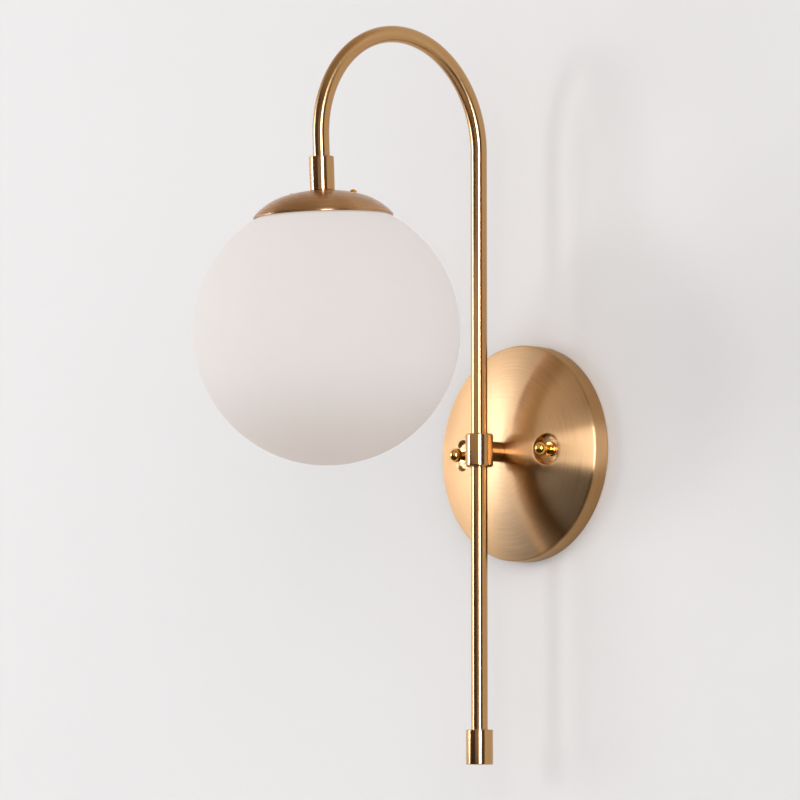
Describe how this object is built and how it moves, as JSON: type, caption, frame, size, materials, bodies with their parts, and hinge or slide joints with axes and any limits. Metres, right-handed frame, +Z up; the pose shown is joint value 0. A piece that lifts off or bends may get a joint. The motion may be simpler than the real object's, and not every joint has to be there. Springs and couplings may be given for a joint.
{
  "type": "art deco wall light",
  "caption": "Gooseneck wall light: domed wall plate with ball nuts, arched brass tube, shade cap with an opal glass globe, and a straight lower rod.",
  "frame": {"origin": "on the wall, in the middle between the bracket's two wall screws, behind the centre of the round wall plate", "axes": "+Z up along the tube, +Y into the wall, +X to the light's right as seen from in front"},
  "size_m": [0.15, 0.2366, 0.4212],
  "materials": {
    "satin_brass": "brushed satin brass under clear lacquer, antique gold",
    "polished_brass": "polished brass",
    "zinc_steel": "zinc plated mild steel",
    "spring_steel": "bright spring steel",
    "opal_glass": "matte opal glass, warm white",
    "silicone": "soft silicone",
    "phenolic": "moulded phenolic",
    "porcelain": "white glazed porcelain",
    "nickel_plate": "nickel plated brass",
    "black_glass": "black vitrite",
    "bulb_plastic": "white moulded plastic",
    "frosted_plastic": "frosted polycarbonate",
    "terminal_nylon": "natural moulded nylon",
    "live_insulation": "brown insulation",
    "neutral_insulation": "blue insulation",
    "earth_insulation": "green and yellow insulation"
  },
  "bodies": {
    "fixture": {"wall_bracket": "zinc_steel", "plate_screws": "zinc_steel", "earth_screw": "polished_brass", "earth_lead": "earth_insulation", "terminal_block": "terminal_nylon", "terminal_tubes": "polished_brass", "terminal_fixing": "zinc_steel", "wall_plate": "satin_brass", "arm": "satin_brass", "arm_washer": "zinc_steel", "arm_lock_nut": "zinc_steel", "collar": "satin_brass", "gooseneck_tube": "satin_brass", "lower_rod": "satin_brass", "rod_end_cap": "satin_brass", "coupling": "satin_brass", "nipple": "zinc_steel", "cap_lock_nut": "zinc_steel", "shade_cap": "satin_brass", "cap_screws": "polished_brass", "clip_ring": "spring_steel", "glass_gasket": "silicone", "holder_top": "phenolic", "holder_insert": "porcelain", "holder_contact": "polished_brass", "holder_shell": "nickel_plate", "holder_skirt": "phenolic", "live_wire": "live_insulation", "neutral_wire": "neutral_insulation"},
    "globe": {"glass_globe": "opal_glass"},
    "bulb": {"bulb_contact": "nickel_plate", "bulb_insulator": "black_glass", "bulb_base": "nickel_plate", "bulb_body": "bulb_plastic", "bulb_diffuser": "frosted_plastic"},
    "nut_left": {"ball_nut_left": "polished_brass"},
    "nut_right": {"ball_nut_right": "polished_brass"}
  },
  "joints": [
    {"name": "globe_slide", "type": "slide", "parent": "fixture", "child": "globe", "axis": [0, 0.0436, -0.999], "range_m": [0, 0.11]},
    {"name": "bulb_turn", "type": "hinge", "parent": "fixture", "child": "bulb", "pos_m": [0, -0.16317, 0.09534], "axis": [0, 0.0436, -0.999], "continuous": true},
    {"name": "nut_left_turn", "type": "hinge", "parent": "fixture", "child": "nut_left", "pos_m": [-0.035, -0.026, 0], "axis": [0, -1, 0], "continuous": true},
    {"name": "nut_right_turn", "type": "hinge", "parent": "fixture", "child": "nut_right", "pos_m": [0.035, -0.026, 0], "axis": [0, -1, 0], "continuous": true}
  ]
}
